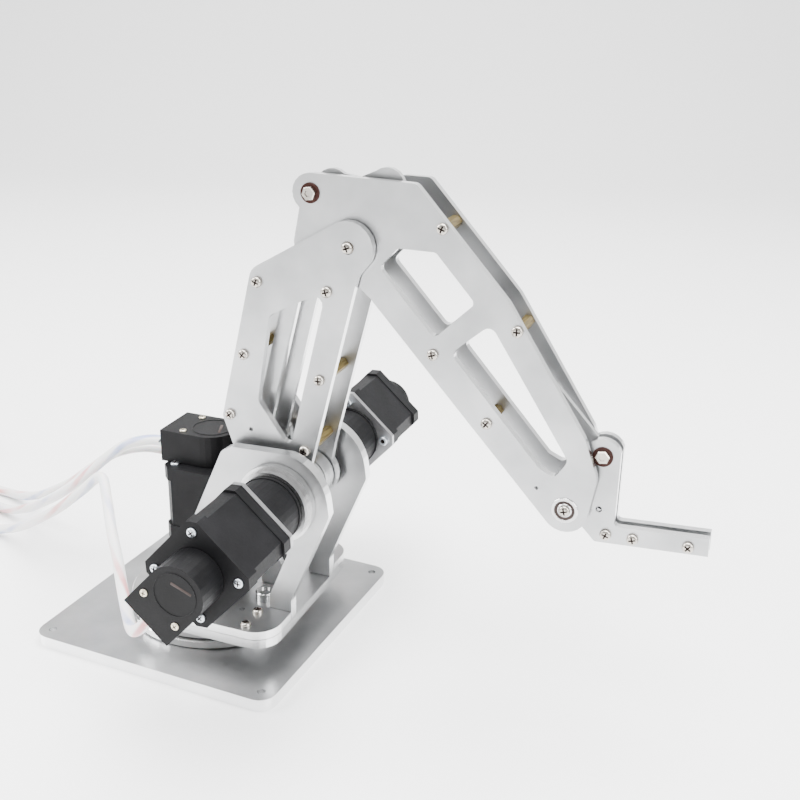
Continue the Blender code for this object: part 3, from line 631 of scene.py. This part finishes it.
def make_connector(name, line, materials):
    """The connector on the cable's end: a keyed housing with latch ramps, wire slots and ribs."""
    ahead = (line[-1] - line[-2]).normalized()
    ahead.z = 0
    turn = Matrix.Rotation(atan2(ahead.y, ahead.x), 4, "Z")
    long, wide, high = 15.6, 9.0, 6.5
    shape = block((long, wide, high), (long / 2, 0, 0), 0.5)
    keys = [block((9, 0.9, 1.0), (9.5, across, 3.4), 0.2) for across in (-2.4, 2.4)]
    latch = block((2.2, 6.4, 1.6), (1.1, 0, 3.4), 0.3)
    collar = block((1.2, 9.8, 5.2), (4.2, 0, 0), 0.3)
    shape = join(shape, *keys, latch, collar)
    body = mesh_from(shape, f"{name}_cable_end", materials["white"])
    body.materials.append(materials["shield_and_recess_shade"])
    # The wire slots' cut faces take the dark shield material: painted shade inside the slots.
    slots = bmesh.new()
    for index in range(4):
        across = (index - 1.5) * 2.0
        slots = join(slots, block((7, 1.3, 3.4), (long, across, -0.6), 0.15))
    body = cut_away(body, mesh_from(slots, "connector_slots", materials["shield_and_recess_shade"]))
    place = Matrix.Translation(line[-1] * MM) @ turn
    connector = add_piece(f"{name}_cable_end", body, "turret", place)
    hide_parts(f"{name}_cable_plug")
    return connector


def make_tie(name, centre, bearing, material):
    """A nylon tie round the coiled turns: a band with a ratchet head on top."""
    inner, outer, high, corner, thick = 22.4, 39.9, 12.3, 4.5, 0.9
    loop = []
    for x, z, start in ((outer, high, 0), (inner, high, 90), (inner, 0.1, 180), (outer, 0.1, 270)):
        middle_x = x - corner if x == outer else x + corner
        middle_z = z - corner if z == high else z + corner
        for step in range(6):
            angle = radians(start + 18 * step)
            out_x, out_z = cos(angle), sin(angle)
            loop.append((middle_x + corner * out_x, middle_z + corner * out_z, out_x, out_z))
    shape = bmesh.new()
    rows = []
    for side, out in ((-1.5, 0), (1.5, 0), (1.5, thick), (-1.5, thick)):
        rows.append([shape.verts.new((x + out * nx, side, max(z + out * nz, 0))) for x, z, nx, nz in loop])
    for index, row in enumerate(rows):
        join_rings(shape, row, rows[(index + 1) % len(rows)])
    ratchet = block((5.2, 4.4, 2.6), (31, 0, high + 1.7), 0.4)
    tail = block((7, 2.6, 0.8), (36.5, 0, high + 1.5), 0.2)
    shape = join(shape, ratchet, tail)
    mesh = mesh_from(shape, name, material)
    middle = Matrix.Translation(in_arm((*centre, 0)))
    turn = Matrix.Rotation(REST_YAW + radians(bearing), 4, "Z")
    add_piece(name, mesh, "turret", middle @ turn)


def make_socket_ends(motors, materials):
    """At each cap: the connector's ribbed cover and the short bare wires that enter the sleeve."""
    stations = {"yaw": YAW_BODY_END, "near": BODY_END, "far": BODY_END}
    cover = block((4.6, 13.6, 11.6), (2.9, 0, 0), 0.5)
    for index in range(5):
        cover = join(cover, block((4.8, 0.9, 1.2), (3.0, (index - 2) * 2.4, 5.8), 0.2))
    cover = join(cover, block((2.0, 14.6, 3.0), (1.5, 0, -2.0), 0.4))
    mesh = mesh_from(cover, "socket_cover", materials["white"])
    for name, motor in motors.items():
        middle = at(motor, CAP_REACH, 0, stations[name] + 7.3)
        add_piece(f"{name}_socket_cover", mesh, "turret", middle)
        make_wires(name, middle, materials)


def make_wires(name, middle, materials):
    """Short coloured wires fanned across the connector's back and gathered into the sleeve."""
    start = in_arm(CABLE_ROUTES[name][0]) / MM
    following = in_arm(CABLE_ROUTES[name][1]) / MM
    ahead = (following - start).normalized()
    local = middle.inverted() @ Matrix.Scale(MM, 4)
    goal = (local @ start) / MM
    heading = (local.to_3x3() @ ahead).normalized()
    for index, colour in enumerate(("red", "blue", "green", "black")):
        across = (index - 1.5) * 2.9
        gather = Vector((0, 0.28 * across, 0.9 * (-1) ** index))
        route = [Vector((4.0, across, 0.5)), Vector((6.0, across, 0.5)), goal + gather + heading * 5]
        line = smooth_line(route, 1.0)
        mesh = mesh_from(tube(line, 0.65, 8), f"{name}_wire_{colour}", materials[f"wire_{colour}"], 60)
        add_piece(f"{name}_wire_{colour}", mesh, "turret", middle)


# ---------------------------------------------------------------- fasteners


def cross_head_mesh(name, radius, height, metal, recess, sides=24):
    """A pan head with a cross recess; the recess's cut faces take the dark second material, painted shade."""
    low = 0.45 * height
    profile = (
        (0, -0.3),
        (radius * 0.96, -0.3),
        (radius, 0.25),
        (radius, low),
        (radius * 0.93, 0.72 * height),
        (radius * 0.78, 0.9 * height),
        (radius * 0.5, 0.98 * height),
        (0, height),
    )
    head = mesh_from(lathe(profile, sides), name, metal, 40)
    head.materials.append(recess)
    # The cut faces keep the cutter's dark material: painted shade in the cross recess.
    bars = [block((radius * 1.25, radius * 0.3, height * 1.3), (0, 0, height), 0.08)]
    bars.append(block((radius * 0.3, radius * 1.25, height * 1.3), (0, 0, height), 0.08))
    head = cut_away(head, mesh_from(bars[0], "bar", recess))
    return cut_away(head, mesh_from(bars[1], "bar", recess))


def hex_head_mesh(name, across, height, socket, metal, recess):
    """A hexagonal head with a chamfered crown, or a round one with a hexagonal socket."""
    radius = across / 2
    sides = 24 if socket else 6
    corner = radius if socket else radius / cos(pi / 6)
    profile = ((0, -0.2), (corner, -0.2), (corner, height - 0.5), (corner - 0.5, height), (0, height))
    head = mesh_from(lathe(profile, sides), name, metal)
    head.materials.append(recess)
    # The hole's cut faces take the dark second material: painted shade inside the hexagonal hole.
    floor, above = height * 0.35, height + 1
    hole = lathe(((0, floor), (radius * 0.5, floor), (radius * 0.55, above), (0, above)), 6)
    return cut_away(head, mesh_from(hole, "hexagon", recess))


def ring_mesh(name, inner, outer, low, high, material, ease_by=0.2):
    """A flat ring with eased edges."""
    profile = (
        (inner, low),
        (outer - ease_by, low),
        (outer, low + ease_by),
        (outer, high - ease_by),
        (outer - ease_by, high),
        (inner + ease_by, high),
        (inner, high - ease_by),
        (inner, low),
    )
    return mesh_from(lathe(profile), name, material)


def make_plate_screws(materials):
    """Cross-headed screws on the outer faces of the arm, forearm and bracket plates."""
    mesh = cross_head_mesh("plate_screw", 2.85, 2.1, materials["nickel"], materials["shield_and_recess_shade"])
    places = {
        ("upper_arm", ARM_FACE): (
            (39.3, 208.1),
            (77.4, 207.4),
            (30.5, 168.9),
            (73.1, 161.0),
            (21.5, 134.5),
            (64.4, 120.8),
            ELBOW,
        ),
        ("forearm", FOREARM_FACE): ((134, 242.9), (131.2, 181.2), (159.8, 150), (172.4, 198.3)),
        ("bracket", BRACKET_FACE): ((220.9, 99.1), (234, 99.2), (260.3, 100.5)),
    }
    for (body, face), points in places.items():
        for index, (x, z) in enumerate(points):
            for name, side in SIDES.items():
                spin = 37 * index + 20 * side
                place = arm_place((x, side * face, z), (0, side, 0), spin)
                add_piece(f"{body}_screw_{name}_{index + 1}", mesh, body, place)


def make_pivots(materials):
    """The wrist's bearings, and the bolts with dark washers at the levelling pivots."""
    race = ring_mesh("wrist_race", 5.0, 6.7, -0.4, 0.5, materials["turned"])
    shield_and_recess_shade = ring_mesh("wrist_shield", 2.2, 5.1, -0.4, 0.25, materials["shield_and_recess_shade"])
    head = cross_head_mesh("wrist_screw", 2.85, 2.2, materials["nickel"], materials["shield_and_recess_shade"])
    inner = ring_mesh("wrist_inner_race", 2.0, 3.6, -0.4, 0.45, materials["turned"])
    for name, side in SIDES.items():
        face = arm_place((WRIST[0], side * FOREARM_FACE, WRIST[1]), (0, side, 0), 15)
        for mesh in (race, shield_and_recess_shade, inner, head):
            add_piece(f"{mesh.name}_{name}", mesh, "forearm", face)
    washer = ring_mesh("pivot_washer", 2.0, 5.0, -0.1, 0.7, materials["dark_washer"])
    tall = hex_head_mesh("pivot_bolt", 6.2, 3.0, False, materials["nickel"], materials["shield_and_recess_shade"])
    thin = hex_head_mesh("pivot_thin_nut", 6.2, 1.9, False, materials["nickel"], materials["shield_and_recess_shade"])
    places = {
        "rear_lobe": ("forearm", REAR_LOBE, FOREARM_FACE, -1, tall),
        "bracket_pivot": ("bracket", BRACKET_PIVOT, BRACKET_FACE, -1, thin),
        "bracket_pivot_far": ("bracket", BRACKET_PIVOT, BRACKET_FACE, 1, thin),
    }
    for name, (body, pivot, face, side, bolt) in places.items():
        place = arm_place((pivot[0], side * face, pivot[1]), (0, side, 0), 10)
        add_piece(f"{name}_washer", washer, body, place)
        add_piece(f"{name}_hexagon", bolt, body, place)
    nut = hex_head_mesh("pivot_nut", 6.6, 2.6, False, materials["nickel"], materials["shield_and_recess_shade"])
    add_piece("post_pivot_nut", nut, "turret", arm_place((POST_PIVOT[0], 5.9, POST_PIVOT[1]), (0, 1, 0), 25))


def make_turret_screws(materials):
    """Screws that hold the wings, and the round boss on the turret plate."""
    screw = cross_head_mesh("turret_screw", 2.85, 2.1, materials["nickel"], materials["shield_and_recess_shade"])
    wing_top, turret_top = 29.0, 24.0
    for name, side in SIDES.items():
        for index, (x, y) in enumerate(((43.9, 48.5), (43.8, 34.7), (-14.0, 48.5), (-14.0, 34.7))):
            place = arm_place((x, side * y, wing_top), (0, 0, 1), 31 * index)
            add_piece(f"wing_screw_{name}_{index + 1}", screw, "turret", place)
    boss = lathe(((0, 0), (5.5, 0), (5.5, 4.6), (4.9, 5.2), (3.1, 5.2), (3.1, 4.2), (0, 4.2)), 32)
    mesh = mesh_from(boss, "turret_boss", materials["turned"])
    add_piece("turret_boss", mesh, "turret", arm_place((37, -13, turret_top)))


def make_motor_screws(motors, materials):
    """The motors' long screws, the flange bolts, and the caps' screws and adjusting slots."""
    zinc = cross_head_mesh("motor_screw", 2.4, 1.4, materials["zinc"], materials["shield_and_recess_shade"])
    flange_bolt = hex_head_mesh("flange_bolt", 5.4, 2.6, True, materials["zinc"], materials["shield_and_recess_shade"])
    cap_screw = cross_head_mesh("cap_screw", 1.9, 0.9, materials["pale_brass"], materials["shield_and_recess_shade"])
    # The adjusting slot is a thin slab of the dark shield material set into the cap: painted shade standing
    # in for the slot's depth.
    slot = mesh_from(block((1.5, 11, 0.8), (0, 0, 0), 0.2), "cap_slot", materials["shield_and_recess_shade"])
    rim = ring_mesh("cap_rim", 10.6, 11.0, -0.1, 0.25, materials["cap_black"], 0.08)
    half = MOTOR_SCREW_SQUARE / 2
    for name, motor in motors.items():
        body_end = YAW_BODY_END if name == "yaw" else BODY_END
        cap_end = YAW_CAP_END if name == "yaw" else CAP_END
        for index, (x, y) in enumerate(((half, half), (-half, half), (-half, -half), (half, -half))):
            rear = at(motor, x, y, body_end, 40 * index)
            add_piece(f"{name}_motor_screw_{index + 1}", zinc, "turret", rear)
            if name != "yaw":
                under = at(motor, x, y, FLANGE_AT) @ Matrix.Rotation(pi, 4, "X")
                add_piece(f"{name}_flange_bolt_{index + 1}", flange_bolt, "turret", under)
        for index, y in enumerate((-10.25, 10.25)):
            place = at(motor, CAP_REACH - 12.2, y, cap_end, 30 + 50 * index)
            add_piece(f"{name}_cap_screw_{index + 1}", cap_screw, "turret", place)
        add_piece(f"{name}_cap_slot", slot, "turret", at(motor, -5, 0, cap_end - 0.3, 20))
        add_piece(f"{name}_cap_rim", rim, "turret", at(motor, 0, 0, cap_end))


# ---------------------------------------------------------------- finishes of the CAD pieces


def finish_nodes(materials):
    """Gives every CAD node its material, and eases the edges of plates and housings."""
    for name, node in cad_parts.items():
        node.data.materials.clear()
        node.data.materials.append(materials[finish_of(name)])
        if not name.endswith(("cable", "coil", "plug")):
            easing = node.modifiers.new("eased_edges", "BEVEL")
            easing.width = edge_of(name) * MM
            easing.segments = 2
            easing.limit_method = "ANGLE"
            easing.angle_limit = radians(50)
            easing.harden_normals = True


def finish_of(name):
    """The material of a CAD node."""
    if "standoff" in name:
        return "brass"
    if name.endswith(("cable", "coil")):
        return "sleeve"
    if name.endswith(("plug", "socket")):
        return "white"
    if name.endswith("encoder_cap"):
        return "cap_black"
    if name.endswith("motor_flange"):
        return "flange_grey"
    if name.endswith(("gearbox", "motor_body")):
        return "motor_black"
    if name.startswith(("base_plate", "turret_plate", "wing_plate")):
        return "flat_plate"
    if name.startswith(("slew_ring", "yaw_hub", "shoulder_hub")) or name.endswith("collar"):
        return "turned"
    if name.endswith(("axle", "bolt", "pin")):
        return "nickel"
    return "side_plate"


def edge_of(name):
    """The width of a CAD node's eased edges, in millimetres."""
    if name == "base_plate":
        return 0.7
    if name.endswith("encoder_cap"):
        return 1.0
    if name.endswith(("gearbox", "motor_body", "motor_flange")):
        return 0.4
    return 0.3


# ---------------------------------------------------------------- camera and light


def make_camera():
    """The camera, from its place, heading, dip and roll."""
    azimuth, dip, roll = radians(23.19), radians(21.25), radians(1.204)
    forward = Vector((-sin(azimuth) * cos(dip), cos(azimuth) * cos(dip), -sin(dip)))
    level = Vector((cos(azimuth), sin(azimuth), 0))
    raised = level.cross(forward)
    right = cos(roll) * level + sin(roll) * raised
    up = cos(roll) * raised - sin(roll) * level
    data = bpy.data.cameras.new("camera")
    data.lens = 49.36
    data.sensor_width = 36.0
    data.clip_start = 0.01
    camera = bpy.data.objects.new("camera", data)
    turn = Matrix((right, up, -forward)).transposed().to_4x4()
    camera.matrix_world = Matrix.Translation((0.3150, -0.4730, 0.3525)) @ turn
    bpy.context.scene.collection.objects.link(camera)
    bpy.context.scene.camera = camera


def add_area(name, place, target, size, power):
    """A soft square light."""
    data = bpy.data.lights.new(name, "AREA")
    data.shape = "RECTANGLE"
    data.size, data.size_y = size
    data.energy = power
    light = bpy.data.objects.new(name, data)
    light.location = place
    light.rotation_euler = (Vector(target) - Vector(place)).to_track_quat("-Z", "Y").to_euler()
    bpy.context.scene.collection.objects.link(light)


def make_studio():
    """A pale table that curves up into a backdrop, soft lights and a pale world."""
    made, shader = plain_material("pale_table", (0.9, 0.9, 0.9), 0.35)
    grain = stretched_noise(made.node_tree, (1, 1, 1), 300, 3)
    made.node_tree.links.new(ramp(made.node_tree, grain, 0.32, 0.38), shader.inputs["Roughness"])
    shape = bmesh.new()
    half, front, back, curve, wall, steps = 3000, -2500, 1400, 900, 3200, 12
    section = [(front, 0)]
    for step in range(steps + 1):
        angle = pi / 2 * step / steps
        section.append((back + curve * sin(angle), curve * (1 - cos(angle))))
    section.append((back + curve, wall))
    sides = [[shape.verts.new((x, y, z)) for y, z in section] for x in (-half, half)]
    for index in range(len(section) - 1):
        shape.faces.new((sides[0][index], sides[1][index], sides[1][index + 1], sides[0][index + 1]))
    table = bpy.data.objects.new("table", mesh_from(shape, "table", made))
    bpy.context.scene.collection.objects.link(table)
    table.rotation_euler.z = radians(20)
    add_area("overhead", (0.1, 0.1, 1.5), (0, 0, 0), (1.6, 1.6), 120)
    add_area("left", (-1.3, -0.7, 0.9), (0, 0, 0.1), (0.9, 0.9), 50)
    add_area("right", (1.4, -0.3, 0.8), (0.1, 0, 0.15), (0.7, 1.0), 30)
    world = bpy.data.worlds.new("world")
    world.use_nodes = True
    background = world.node_tree.nodes["Background"]
    background.inputs["Color"].default_value = (1, 1, 1, 1)
    background.inputs["Strength"].default_value = 1.0
    bpy.context.scene.world = world


def main():
    """Builds the looks."""
    make_camera()
    materials = make_materials()
    make_cables(materials)
    finish_nodes(materials)
    motors = motor_places()
    make_socket_ends(motors, materials)
    make_plate_screws(materials)
    make_pivots(materials)
    make_turret_screws(materials)
    make_motor_screws(motors, materials)
    make_studio()


main()
